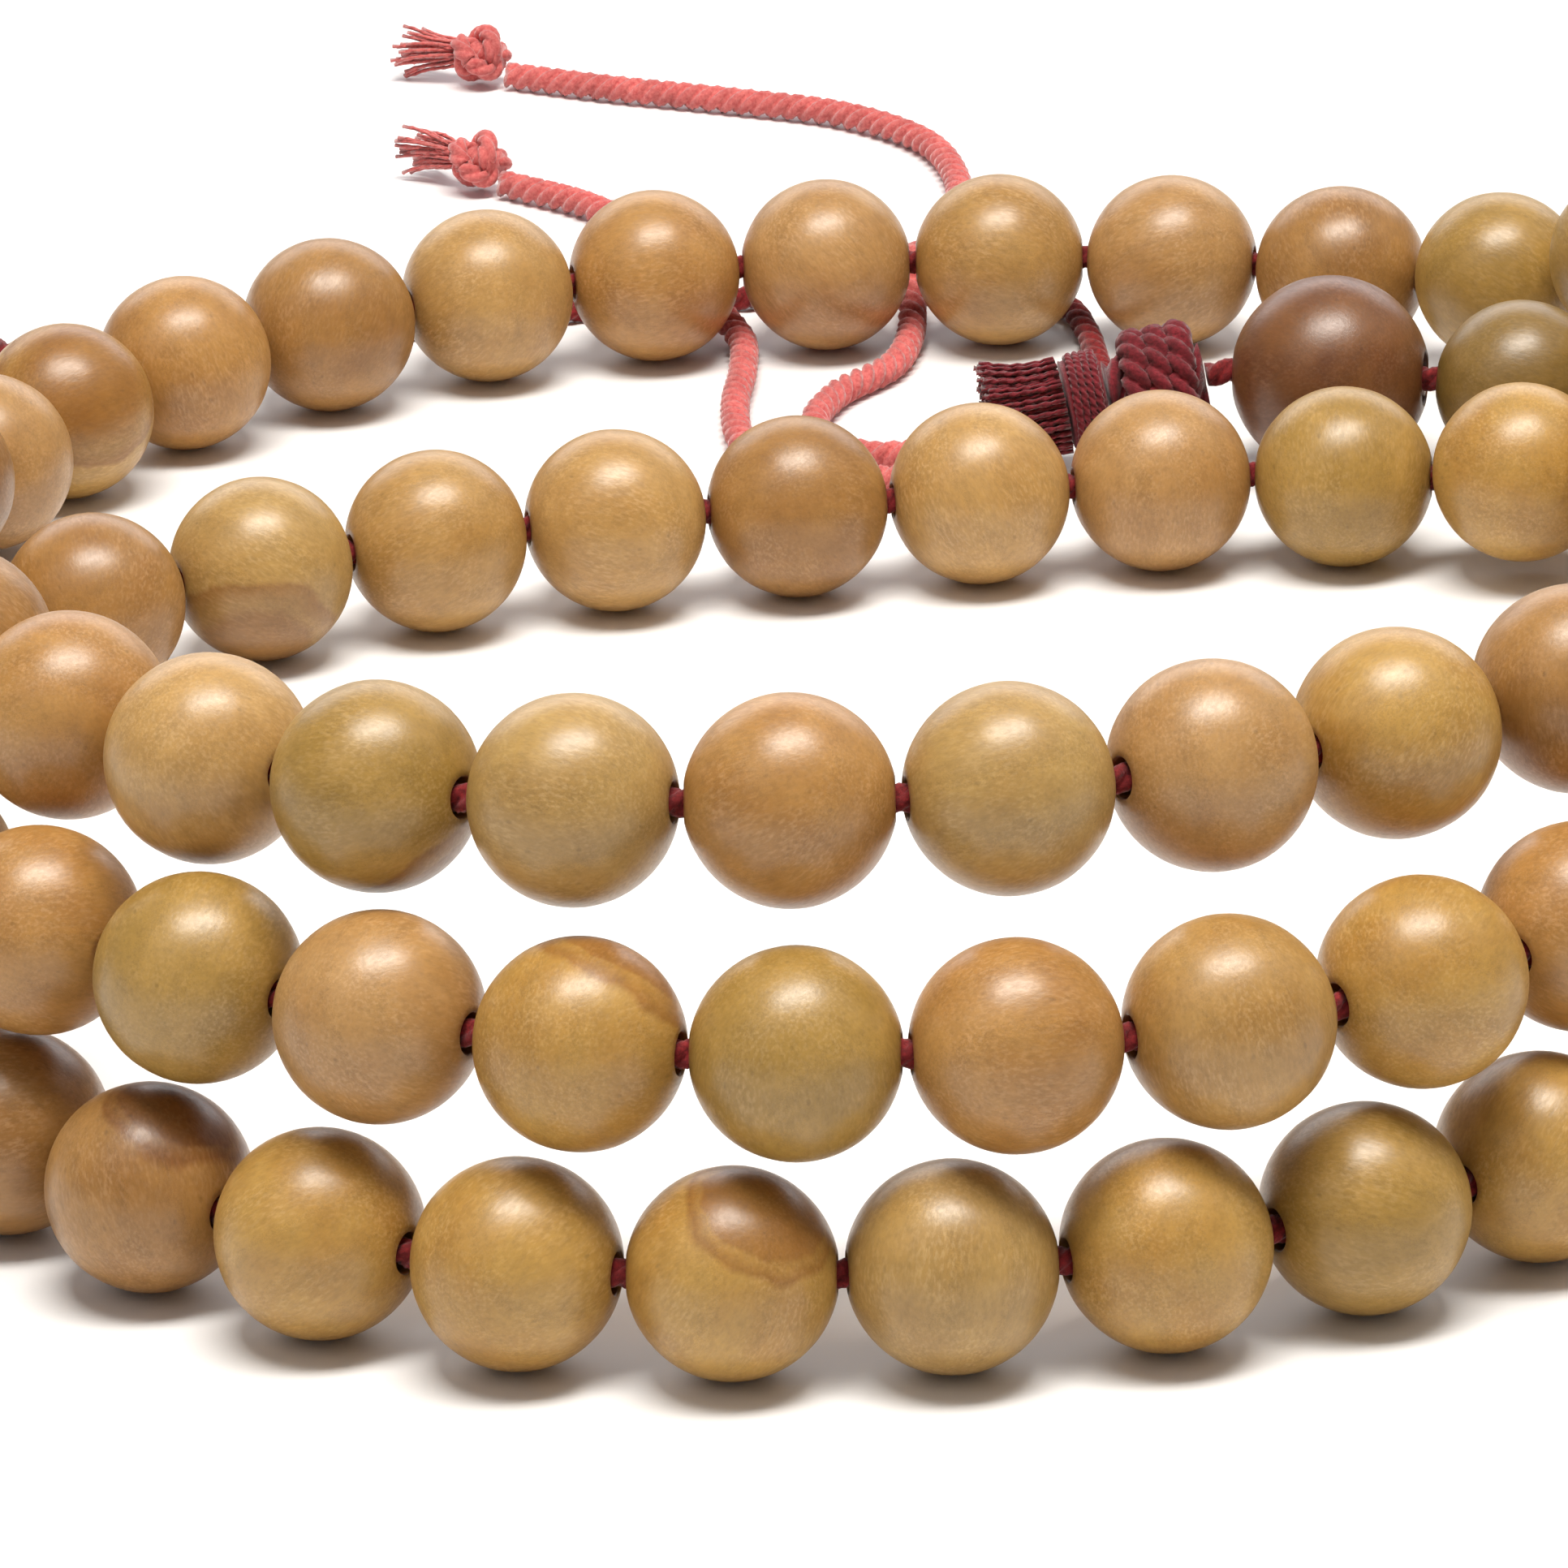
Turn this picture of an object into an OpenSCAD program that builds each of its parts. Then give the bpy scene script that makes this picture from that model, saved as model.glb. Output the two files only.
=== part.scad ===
// String of 108 turned wooden prayer beads with a guru bead, a tied knot, a short tassel
// and two loose tails, lying on a flat surface in three turns. Sizes are in millimetres.
// X runs to the right along the front rows, Y to the back, Z up from the surface.

/* [Beads] */

// diameter of the largest bead
bead_d = 8; // [6:0.1:12]

// room left on the string between two beads
bead_play = 0.05; // [0.05:0.05:0.6]

// share by which the smallest bead is thinner than the largest
bead_variation = 0.005; // [0:0.005:0.05]

// hole drilled through each bead
bore_d = 1.6; // [1.4:0.1:3]

// width of the bevel at each mouth of a hole
mouth_bevel = 0.1; // [0.05:0.05:0.4]

/* [String] */

// thickness of the stringing cord
string_d = 1.2; // [0.8:0.1:1.3]

/* [Guru bead] */

// diameter of the larger bead that closes the string
guru_d = 9; // [8.5:0.1:12]

// hole through the guru bead
guru_bore_d = 2.4; // [1.8:0.1:4]

/* [Knot and tassel] */

// thickness of the wrapped knot beside the guru bead
knot_d = 5.6; // [4:0.1:8]

// length of the wrapped knot
knot_len = 4.5; // [3:0.1:8]

// thickness of the binding at the top of the tassel
binding_d = 4.6; // [3:0.1:7]

// length of the binding
binding_len = 1.8; // [1.2:0.1:4]

// thickness of the tassel where its threads end
skirt_d = 5.6; // [4:0.1:8]

// length of the tassel's threads below the binding
skirt_len = 3.6; // [3:0.1:12]

/* [Tails] */

// thickness of the two loose tails
tail_d = 1.4; // [0.8:0.1:1.6]

// thickness of the knot at the end of each tail
tail_knot_d = 3.2; // [2:0.1:5]

// length of the frayed tuft beyond each tail's knot
tuft_len = 3.6; // [1:0.1:8]

/* [Hidden] */

bead_count = 108;
drawn_for = 8.1;
size = bead_d / drawn_for;
curve_steps = 12;
cord_steps = 3;
tube_sides = 8;
round_fn = 48;
row_beads = 12;
low_first = 10;
mid_first = 44;
top_first = 85;

// clearances between pieces that lie against each other
seat_gap = 0.1;
string_gap = 0.3;
knot_gap = 0.9;

// The beads' route, from the guru bead round three turns to the last bead, for 8.1 mm beads:
// across, back and up. The first turn lies on the surface, the next two on top at the front.
route = [
    [29.8, 96, guru_d / 2 / size], [36.6, 94.9, 4.2], [42, 90.9, 4], [45.6, 84.6, 4],
    [47.2, 77.5, 4], [47.4, 68, 4], [47, 56, 4], [45, 41, 4], [41, 28, 4],
    // front row on the surface, from right to left
    [35, 16, 4], [27, 8, 4], [18, 3, 4], [9, 0.5, 4], [0, 0, 4],
    [-9, 1, 4], [-17, 4.2, 4], [-23.8, 9, 4], [-30.6, 15.8, 4],
    [-37, 26, 4], [-42, 40, 4], [-42.5, 53, 4], [-39, 64, 4],
    // nearer back row, from left to right
    [-31.5, 71.5, 4], [-23, 76.5, 4], [-14, 80, 4], [-6, 82, 4], [2, 83, 4],
    [10, 84, 4], [18, 85.2, 4], [25, 84.9, 4], [31.6, 83.4, 4.4], [38, 79.6, 6.6],
    [43, 73.2, 10.6], [45.9, 64, 12.5], [46.2, 54, 12.5], [45.2, 41, 12.3], [41, 29, 12.3],
    // front row of the second layer, from right to left
    [35, 18, 12.2], [28, 10, 12.2], [19, 4.5, 12.2], [10, 2, 12.2], [1, 1.5, 12.2],
    [-8, 3, 12.2], [-16, 6.5, 12.2], [-23, 11, 12.2], [-30, 17, 12.2],
    [-37, 27.5, 12.2], [-41.5, 40, 12.2], [-43.7, 54, 12.2], [-43.4, 68.4, 11.2],
    [-38.5, 80, 7.5], [-36, 89, 4.3],
    // farther back row, from left to right
    [-33, 97, 4], [-28, 103.5, 4], [-21, 109, 4], [-14, 112.5, 4], [-6, 115, 4],
    [2, 116, 4], [10, 116, 4], [18, 115.5, 4], [26, 113.3, 4], [33, 110, 4.3],
    [39.4, 105, 7], [44.1, 98.3, 11], [47.3, 90, 15], [48.8, 80, 18.2], [49, 67, 20.3],
    [48, 54, 20.5], [46.3, 41, 20.5], [42.5, 30, 20.4], [37, 22, 20.2],
    // front row of the third layer, from right to left
    [29, 17, 19.6], [22, 13, 19.6], [15, 9, 20.2], [8, 7, 20.3], [0, 6.5, 20.3],
    [-8, 7.5, 20.2], [-15, 10.5, 19.6], [-21, 15, 19.2], [-27.5, 21.5, 18.6],
    [-34.5, 31.5, 19.6], [-41, 43, 20.6], [-48, 54, 19.3], [-53, 66.5, 13.6], [-53.4, 80, 6.5],
    [-51.5, 91, 4], [-47.5, 101.5, 4], [-40.5, 109.1, 4]
];

// The slack cord from the last bead to the knot: across and back, then its height as a
// number of cord thicknesses. It lies behind the farther row and passes under it.
slack = [
    [-34.5, 113.6, 1.1], [-29, 115.2, 0.5], [-22, 117, 0.5],
    [-14, 119.4, 0.5], [-5.5, 121, 0.5], [3, 121.8, 0.5], [10, 121.4, 0.5],
    [14, 119, 0.5], [14.8, 115.6, 0.5], [15.3, 110, 0.5], [16.4, 104, 0.5]
];

// The tails' routes on the surface: across and back, then height in tail thicknesses.
// Each goes under the farther row between two beads, then over the slack cord.
long_tail = [
    [4.2, 98.6, 0.5], [1.9, 102.2, 0.5], [2.8, 106.8, 0.5], [5.6, 111, 0.5], [6.6, 116, 0.5],
    [6.7, 118.6, 0.9], [6.9, 121.6, 1.65], [7.4, 125, 0.9], [8.2, 129, 0.5], [9.2, 134, 0.5],
    [9.2, 139, 0.5], [7.8, 144.5, 0.5], [4, 149, 0.5], [-2, 152, 0.5],
    [-8, 154.5, 0.5], [-13, 157, 0.5]
];
short_tail = [
    [2, 95.4, 0.5], [-1.2, 100, 0.5], [-1.8, 106, 0.5], [-1.4, 111, 0.5], [-1.6, 115.9, 0.5],
    [-2.5, 118, 0.9], [-3.5, 121.1, 1.65], [-4.2, 124.5, 0.9], [-5, 128, 0.5], [-6.4, 132, 0.5],
    [-9, 136, 0.5], [-13, 139.5, 0.5]
];

// direction in which the knot and the tassel point, in degrees from X
tassel_turn = 186;

// --- curves -------------------------------------------------------------------------

function unit(v) = v / norm(v);
function flat(v) = unit([v.x, v.y, 0]);

function slope(p, i) =
    i == 0 ? unit(p[1] - p[0])
    : i == len(p) - 1 ? unit(p[i] - p[i - 1])
    : let (a = norm(p[i] - p[i - 1]), b = norm(p[i + 1] - p[i]))
        ((p[i] - p[i - 1]) / a * b + (p[i + 1] - p[i]) / b * a) / (a + b);

function curve_point(p, i, t) =
    let (d = norm(p[i + 1] - p[i]), t2 = t * t, t3 = t2 * t)
        (2 * t3 - 3 * t2 + 1) * p[i] + (t3 - 2 * t2 + t) * d * slope(p, i)
        + (3 * t2 - 2 * t3) * p[i + 1] + (t3 - t2) * d * slope(p, i + 1);

function curve(p, steps) = [
    for (i = [0 : len(p) - 2]) for (k = [0 : steps - 1]) curve_point(p, i, k / steps),
    p[len(p) - 1]
];

function lift(c, low) = [for (p = c) [p.x, p.y, max(p.z, low)]];

function distances(c) = [
    for (i = 0, s = 0; i < len(c); s = s + (i + 1 < len(c) ? norm(c[i + 1] - c[i]) : 0), i = i + 1) s
];

// --- where the beads sit --------------------------------------------------------------

base_points = [for (p = route) size * p];
base_dist = distances(curve(base_points, curve_steps));
reach = bead_count * (bead_d + bead_play) / base_dist[len(base_dist) - 1];
plan = size * reach;

path_points = [for (p = route) [plan * p.x, plan * p.y, size * p.z]];
path = lift(curve(path_points, curve_steps), bead_d / 2);
path_dist = distances(path);
pitch = path_dist[len(path) - 1] / bead_count;
path_x = [for (i = [0 : len(path) - 1]) [path_dist[i], path[i].x]];
path_y = [for (i = [0 : len(path) - 1]) [path_dist[i], path[i].y]];
path_z = [for (i = [0 : len(path) - 1]) [path_dist[i], path[i].z]];

function at(s) = [lookup(s, path_x), lookup(s, path_y), lookup(s, path_z)];

// the string bends only between beads, so each bead's hole lies along a straight stretch
lean = 0.35 * pitch;
stops = [for (i = [0 : bead_count - 1]) at((i + 0.5) * pitch)];
aims = [for (i = [0 : bead_count - 1]) unit(at((i + 0.5) * pitch + lean) - at((i + 0.5) * pitch - lean))];
bends = lift([
    stops[0] - aims[0] * pitch / 2,
    for (i = [0 : bead_count - 2])
        (stops[i] + stops[i + 1]) / 2 + norm(stops[i + 1] - stops[i]) / 4 * (aims[i] - aims[i + 1]),
    stops[bead_count - 1] + aims[bead_count - 1] * pitch / 2
], bead_d / 2);

function bead_mid(i) = (bends[i] + bends[i + 1]) / 2;
function bead_axis(i) = unit(bends[i + 1] - bends[i]);
function scatter(i) = let (v = 1000 * sin(i * 127.1 + 31.7)) v - floor(v);

// each bead is a little thinner than the largest, and never touches its nearest neighbour
mids = [for (i = [0 : bead_count - 1]) bead_mid(i)];
nearest = [for (i = [0 : bead_count - 1]) min([for (k = [0 : bead_count - 1]) if (k != i) norm(mids[i] - mids[k])])];
function bead_size(i) = min(bead_d * (1 - bead_variation * scatter(i)), nearest[i] - bead_play);

// --- guru bead, knot, tassel -----------------------------------------------------------

guru_aim = flat(bead_axis(0));
guru_spot = bends[0] - guru_aim * (guru_d / 2 + bead_play);
guru_mid = [guru_spot.x, guru_spot.y, guru_d / 2];
guru_mouth = guru_mid - guru_aim * (guru_d / 2 + string_gap);

// the tassel's line runs from the guru bead's mouth down to where the skirt rests
tassel_run = knot_gap + knot_len + binding_len + skirt_len + 2 * seat_gap;
tassel_fall = asin((guru_d - skirt_d) / 2 / tassel_run);
tassel_aim = [cos(tassel_fall) * cos(tassel_turn), cos(tassel_fall) * sin(tassel_turn), -sin(tassel_fall)];
knot_face = guru_mouth + tassel_aim * knot_gap;
knot_end = knot_face + tassel_aim * knot_len;
binding_start = knot_end + tassel_aim * seat_gap;
skirt_start = binding_start + tassel_aim * (binding_len + seat_gap);
skirt_end = skirt_start + tassel_aim * skirt_len;
wraps = 3;

// --- the string and the tails ----------------------------------------------------------

function on_plan(list, d) = [for (p = list) [plan * p.x, plan * p.y, p.z * d]];

slack_plan = on_plan(slack, string_d);
knot_mid = (knot_face + knot_end) / 2;
slack_aim = flat(knot_mid - slack_plan[len(slack_plan) - 1]);
slack_stop = knot_mid - slack_aim * (knot_d / 2 + string_gap);
slack_lead = slack_stop - slack_aim * string_d - [0, 0, string_d / 4];
slack_line = lift(curve(concat([bends[bead_count]], slack_plan, [slack_lead, slack_stop]), cord_steps), string_d / 2);
string_line = concat(
    [knot_face - tassel_aim * seat_gap, guru_mouth],
    bends,
    [for (i = [2 : len(slack_line) - 1]) slack_line[i]]
);

// both tails leave the skirt's end low down, one on each side of its middle
skirt_side = flat(cross(tassel_aim, [0, 0, 1]));
exit_side = skirt_side * skirt_d / 4;
exit_low = [0, 0, skirt_d / 4];
long_exit = skirt_end + tassel_aim * seat_gap + exit_side - exit_low;
short_exit = skirt_end + tassel_aim * seat_gap - exit_side - exit_low;

function tail_line(start, list) =
    lift(curve(concat([start, start + tassel_aim * tail_d], on_plan(list, tail_d)), cord_steps), tail_d / 2);

long_line = tail_line(long_exit, long_tail);
short_line = tail_line(short_exit, short_tail);

// --- origin: the middle of the bottom of the box round everything but the tails --------

lows = [for (i = [0 : bead_count - 1]) bead_mid(i) - bead_size(i) / 2 * [1, 1, 1]];
highs = [for (i = [0 : bead_count - 1]) bead_mid(i) + bead_size(i) / 2 * [1, 1, 1]];
x_low = min([for (p = lows) p.x]);
x_high = max([for (p = highs) p.x]);
y_low = min([for (p = lows) p.y]);
y_high = max(max([for (p = highs) p.y]), max([for (p = string_line) p.y]) + string_d / 2);
origin = [(x_low + x_high) / 2, (y_low + y_high) / 2, 0];

// --- shapes ----------------------------------------------------------------------------

module lay(mid, aim) {
    translate(mid - origin)
        rotate([0, acos(aim.z), atan2(aim.y, aim.x)])
            children();
}

// one bored bead along Z: a ball, its hole and a bevel at both mouths
module bored_ball(d, hole) {
    wide = hole / 2 + mouth_bevel;
    mouth = sqrt(d * d / 4 - wide * wide);
    difference() {
        sphere(d = d, $fn = round_fn);
        cylinder(d = hole, h = 2 * d, center = true, $fn = round_fn);
        for (side = [0, 1])
            mirror([0, 0, side])
                translate([0, 0, mouth - mouth_bevel])
                    cylinder(h = 2 * mouth_bevel, r1 = hole / 2, r2 = hole / 2 + 2 * mouth_bevel, $fn = round_fn);
    }
}

module bead(i) {
    color("burlywood")
        lay(bead_mid(i), bead_axis(i))
            bored_ball(bead_size(i), bore_d);
}

module beads(first, last) {
    for (i = [first : last])
        bead(i);
}

module guru_bead() {
    color("peru")
        lay(guru_mid, guru_aim)
            bored_ball(guru_d, guru_bore_d);
}

// a tube with flat sides that follows a line of points
module tube(line, d) {
    n = len(line);
    steps = [for (i = [0 : n - 2]) unit(line[i + 1] - line[i])];
    turns = [for (i = [0 : n - 1]) unit(steps[max(i - 1, 0)] + steps[min(i, n - 2)])];
    rings = [
        for (i = [0 : n - 1])
            let (u = unit(cross(turns[i], [0, 0, 1])), v = cross(u, turns[i]))
                for (k = [0 : tube_sides - 1])
                    line[i] - origin + d / 2 * (cos(360 * k / tube_sides) * u + sin(360 * k / tube_sides) * v)
    ];
    sides = [
        for (i = [0 : n - 2]) for (k = [0 : tube_sides - 1])
            let (a = i * tube_sides + k, b = i * tube_sides + (k + 1) % tube_sides)
                each [[a, b, b + tube_sides], [a, b + tube_sides, a + tube_sides]]
    ];
    ends = [
        [for (k = [tube_sides - 1 : -1 : 0]) k],
        [for (k = [0 : tube_sides - 1]) (n - 1) * tube_sides + k]
    ];
    polyhedron(points = rings, faces = concat(sides, ends), convexity = 10);
}

module string_cord() {
    color("darkred")
        tube(string_line, string_d);
}

// a barrel of three cord wraps on a core
module wrapped_knot() {
    wrap_r = knot_len / wraps / 2;
    color("darkred")
        lay(knot_face, tassel_aim)
            rotate_extrude($fn = round_fn)
                union() {
                    square([knot_d / 2 - wrap_r, knot_len]);
                    for (k = [0 : wraps - 1])
                        translate([knot_d / 2 - wrap_r, (2 * k + 1) * wrap_r])
                            circle(r = wrap_r, $fn = round_fn);
                }
}

module tassel_binding() {
    color("maroon")
        lay(binding_start, tassel_aim)
            cylinder(d = binding_d, h = binding_len, $fn = round_fn);
}

module tassel_skirt() {
    color("firebrick")
        lay(skirt_start, tassel_aim)
            cylinder(d1 = binding_d, d2 = skirt_d, h = skirt_len, $fn = round_fn);
}

module tail(line) {
    color("indianred")
        tube(line, tail_d);
}

// the ball knot at a tail's end, with its frayed tuft
module tail_knot(line) {
    n = len(line);
    aim = flat(line[n - 1] - line[n - 2]);
    mid = [line[n - 1].x, line[n - 1].y, tail_knot_d / 2] + aim * tail_knot_d / 2;
    color("tomato")
        lay(mid, aim)
            union() {
                sphere(d = tail_knot_d, $fn = round_fn);
                cylinder(d1 = tail_knot_d / 2, d2 = tail_knot_d * 0.9, h = tail_knot_d / 2 + tuft_len, $fn = round_fn);
            }
}

// --- nodes -----------------------------------------------------------------------------

function two(k) = k < 10 ? str("0", k) : str(k);
function row_names(row) = [for (k = [1 : row_beads]) str("bead_", row, "_", two(k))];

for (k = [0 : row_beads - 1]) {
    bead(low_first + k);
    bead(mid_first + k);
    bead(top_first + k);
}
beads(0, low_first - 1);  // beads_right_floor
beads(low_first + row_beads, 32);  // beads_left_floor
beads(33, mid_first - 1);  // beads_back_climb
beads(mid_first + row_beads, 65);  // beads_left_down
beads(66, 75);  // beads_back_far
beads(76, top_first - 1);  // beads_right_high
beads(top_first + row_beads, bead_count - 1);  // beads_left_last
string_cord();
guru_bead();
wrapped_knot();
tassel_binding();
tassel_skirt();
tail(long_line);  // long_tail
tail(short_line);  // short_tail
tail_knot(long_line);  // long_tail_knot
tail_knot(short_line);  // short_tail_knot
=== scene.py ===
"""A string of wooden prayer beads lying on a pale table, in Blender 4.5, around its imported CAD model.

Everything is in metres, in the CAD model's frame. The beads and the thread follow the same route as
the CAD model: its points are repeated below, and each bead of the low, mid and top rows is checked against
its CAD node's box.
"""

import math
import random

import bmesh
import bpy
import numpy as np
from mathutils import Matrix, Vector, noise


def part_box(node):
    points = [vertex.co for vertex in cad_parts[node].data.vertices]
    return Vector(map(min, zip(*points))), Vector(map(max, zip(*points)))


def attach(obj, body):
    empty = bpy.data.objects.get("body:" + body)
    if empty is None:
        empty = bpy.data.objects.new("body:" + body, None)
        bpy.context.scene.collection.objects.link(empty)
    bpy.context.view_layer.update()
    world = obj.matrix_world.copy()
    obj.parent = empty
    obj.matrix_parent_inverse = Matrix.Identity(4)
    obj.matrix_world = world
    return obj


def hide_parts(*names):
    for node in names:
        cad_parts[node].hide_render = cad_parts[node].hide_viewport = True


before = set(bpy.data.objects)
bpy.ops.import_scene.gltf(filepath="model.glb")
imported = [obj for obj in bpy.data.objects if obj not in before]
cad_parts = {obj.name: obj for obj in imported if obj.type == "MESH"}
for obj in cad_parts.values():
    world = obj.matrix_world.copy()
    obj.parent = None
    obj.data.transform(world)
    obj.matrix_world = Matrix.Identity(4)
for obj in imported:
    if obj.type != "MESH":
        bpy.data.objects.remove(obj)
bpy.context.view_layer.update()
random.seed(108)

MM = 0.001

# ---------------------------------------------------------------- sizes, as in the CAD model

BEADS = 108
BEAD_D = 8 * MM
DRAWN_FOR = 8.1 * MM
SIZE = BEAD_D / DRAWN_FOR
BEAD_PLAY = 0.05 * MM
BEAD_VARIATION = 0.005
BORE_R = 0.8 * MM
STRING_D = 1.2 * MM
GURU_D = 9 * MM
GURU_BORE_R = 1.2 * MM
KNOT_D = 5.6 * MM
KNOT_LEN = 4.5 * MM
BINDING_D = 4.6 * MM
BINDING_LEN = 1.8 * MM
SKIRT_D = 5.6 * MM
SKIRT_LEN = 3.6 * MM
TAIL_D = 1.4 * MM
TAIL_KNOT_D = 3.2 * MM
TUFT_LEN = 3.6 * MM
SEAT_GAP = 0.1 * MM
STRING_GAP = 0.3 * MM
KNOT_GAP = 0.9 * MM
TASSEL_TURN = math.radians(186)
CURVE_STEPS = 12
SLACK_STEPS = 3
ROW_BEADS = 12
LOW_FIRST, MID_FIRST, TOP_FIRST = 10, 44, 85

# The beads' route in millimetres, from the guru bead round three turns to the last bead
ROUTE = [
    (29.8, 96, GURU_D / 2 / SIZE / MM), (36.6, 94.9, 4.2), (42, 90.9, 4), (45.6, 84.6, 4),
    (47.2, 77.5, 4), (47.4, 68, 4), (47, 56, 4), (45, 41, 4), (41, 28, 4),
    (35, 16, 4), (27, 8, 4), (18, 3, 4), (9, 0.5, 4), (0, 0, 4),
    (-9, 1, 4), (-17, 4.2, 4), (-23.8, 9, 4), (-30.6, 15.8, 4),
    (-37, 26, 4), (-42, 40, 4), (-42.5, 53, 4), (-39, 64, 4),
    (-31.5, 71.5, 4), (-23, 76.5, 4), (-14, 80, 4), (-6, 82, 4), (2, 83, 4),
    (10, 84, 4), (18, 85.2, 4), (25, 84.9, 4), (31.6, 83.4, 4.4), (38, 79.6, 6.6),
    (43, 73.2, 10.6), (45.9, 64, 12.5), (46.2, 54, 12.5), (45.2, 41, 12.3), (41, 29, 12.3),
    (35, 18, 12.2), (28, 10, 12.2), (19, 4.5, 12.2), (10, 2, 12.2), (1, 1.5, 12.2),
    (-8, 3, 12.2), (-16, 6.5, 12.2), (-23, 11, 12.2), (-30, 17, 12.2),
    (-37, 27.5, 12.2), (-41.5, 40, 12.2), (-43.7, 54, 12.2), (-43.4, 68.4, 11.2),
    (-38.5, 80, 7.5), (-36, 89, 4.3),
    (-33, 97, 4), (-28, 103.5, 4), (-21, 109, 4), (-14, 112.5, 4), (-6, 115, 4),
    (2, 116, 4), (10, 116, 4), (18, 115.5, 4), (26, 113.3, 4), (33, 110, 4.3),
    (39.4, 105, 7), (44.1, 98.3, 11), (47.3, 90, 15), (48.8, 80, 18.2), (49, 67, 20.3),
    (48, 54, 20.5), (46.3, 41, 20.5), (42.5, 30, 20.4), (37, 22, 20.2),
    (29, 17, 19.6), (22, 13, 19.6), (15, 9, 20.2), (8, 7, 20.3), (0, 6.5, 20.3),
    (-8, 7.5, 20.2), (-15, 10.5, 19.6), (-21, 15, 19.2), (-27.5, 21.5, 18.6),
    (-34.5, 31.5, 19.6), (-41, 43, 20.6), (-48, 54, 19.3), (-53, 66.5, 13.6), (-53.4, 80, 6.5),
    (-51.5, 91, 4), (-47.5, 101.5, 4), (-40.5, 109.1, 4),
]

# Cords' routes: millimetres across and back, then the height in cord thicknesses
SLACK = [
    (-34.5, 113.6, 1.1), (-29, 115.2, 0.5), (-22, 117, 0.5),
    (-14, 119.4, 0.5), (-5.5, 121, 0.5), (3, 121.8, 0.5), (10, 121.4, 0.5),
    (14, 119, 0.5), (14.8, 115.6, 0.5), (15.3, 110, 0.5), (16.4, 104, 0.5),
]
LONG_TAIL = [
    (4.2, 98.6, 0.5), (1.9, 102.2, 0.5), (2.8, 106.8, 0.5), (5.6, 111, 0.5), (6.6, 116, 0.5),
    (6.7, 118.6, 0.9), (6.9, 121.6, 1.65), (7.4, 125, 0.9), (8.2, 129, 0.5), (9.2, 134, 0.5),
    (9.2, 139, 0.5), (7.8, 144.5, 0.5), (4, 149, 0.5), (-2, 152, 0.5),
    (-8, 154.5, 0.5), (-13, 157, 0.5),
]
SHORT_TAIL = [
    (2, 95.4, 0.5), (-1.2, 100, 0.5), (-1.8, 106, 0.5), (-1.4, 111, 0.5), (-1.6, 115.9, 0.5),
    (-2.5, 118, 0.9), (-3.5, 121.1, 1.65), (-4.2, 124.5, 0.9), (-5, 128, 0.5), (-6.4, 132, 0.5),
    (-9, 136, 0.5), (-13, 139.5, 0.5),
]


# ---------------------------------------------------------------- curves

up = np.array([0.0, 0.0, 1.0])


def unit(v):
    return v / np.linalg.norm(v)


def flat(v):
    return unit(np.array([v[0], v[1], 0.0]))


def slopes(p):
    """The direction of the curve at each of its points, weighted by the lengths on both sides."""
    found = [unit(p[1] - p[0])]
    for i in range(1, len(p) - 1):
        a, b = np.linalg.norm(p[i] - p[i - 1]), np.linalg.norm(p[i + 1] - p[i])
        found.append(((p[i] - p[i - 1]) / a * b + (p[i + 1] - p[i]) / b * a) / (a + b))
    found.append(unit(p[-1] - p[-2]))
    return found


def curve(points, steps):
    """A smooth curve through the points, as a list with the given number of steps between two."""
    p = [np.array(q, float) for q in points]
    m = slopes(p)
    out = []
    for i in range(len(p) - 1):
        d = np.linalg.norm(p[i + 1] - p[i])
        for k in range(steps):
            t = k / steps
            out.append(
                (2 * t**3 - 3 * t**2 + 1) * p[i] + (t**3 - 2 * t**2 + t) * d * m[i]
                + (3 * t**2 - 2 * t**3) * p[i + 1] + (t**3 - t**2) * d * m[i + 1]
            )
    out.append(p[-1])
    return np.array(out)


def lift(line, low):
    line = np.array(line)
    line[:, 2] = np.maximum(line[:, 2], low)
    return line


def distances(line):
    return np.concatenate([[0], np.cumsum(np.linalg.norm(np.diff(line, axis=0), axis=1))])


def evenly(line, step):
    """The line with its points about one step apart."""
    d = distances(line)
    n = max(2, round(d[-1] / step) + 1)
    s = np.linspace(0, d[-1], n)
    return np.stack([np.interp(s, d, line[:, k]) for k in range(3)], axis=1)


# ---------------------------------------------------------------- where everything sits

route = np.array(ROUTE) * MM * SIZE
reach = BEADS * (BEAD_D + BEAD_PLAY) / distances(curve(route, CURVE_STEPS))[-1]
on_plan = np.array([reach, reach, 1])
plan = SIZE * reach
path = lift(curve(route * on_plan, CURVE_STEPS), BEAD_D / 2)
path_dist = distances(path)
pitch = path_dist[-1] / BEADS


def at(s):
    return np.array([np.interp(s, path_dist, path[:, k]) for k in range(3)])


LEAN = 0.35
stops = [at((i + 0.5) * pitch) for i in range(BEADS)]
aims = [unit(at((i + 0.5 + LEAN) * pitch) - at((i + 0.5 - LEAN) * pitch)) for i in range(BEADS)]
bends = [stops[0] - aims[0] * pitch / 2]
for i in range(BEADS - 1):
    half = np.linalg.norm(stops[i + 1] - stops[i]) / 4
    bends.append((stops[i] + stops[i + 1]) / 2 + half * (aims[i] - aims[i + 1]))
bends.append(stops[-1] + aims[-1] * pitch / 2)
bends = lift(bends, BEAD_D / 2)


def scatter(i):
    v = 1000 * math.sin(math.radians(i * 127.1 + 31.7))
    return v - math.floor(v)


def bead_mid(i):
    return (bends[i] + bends[i + 1]) / 2


def bead_axis(i):
    return unit(bends[i + 1] - bends[i])


mids = np.array([bead_mid(i) for i in range(BEADS)])


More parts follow.
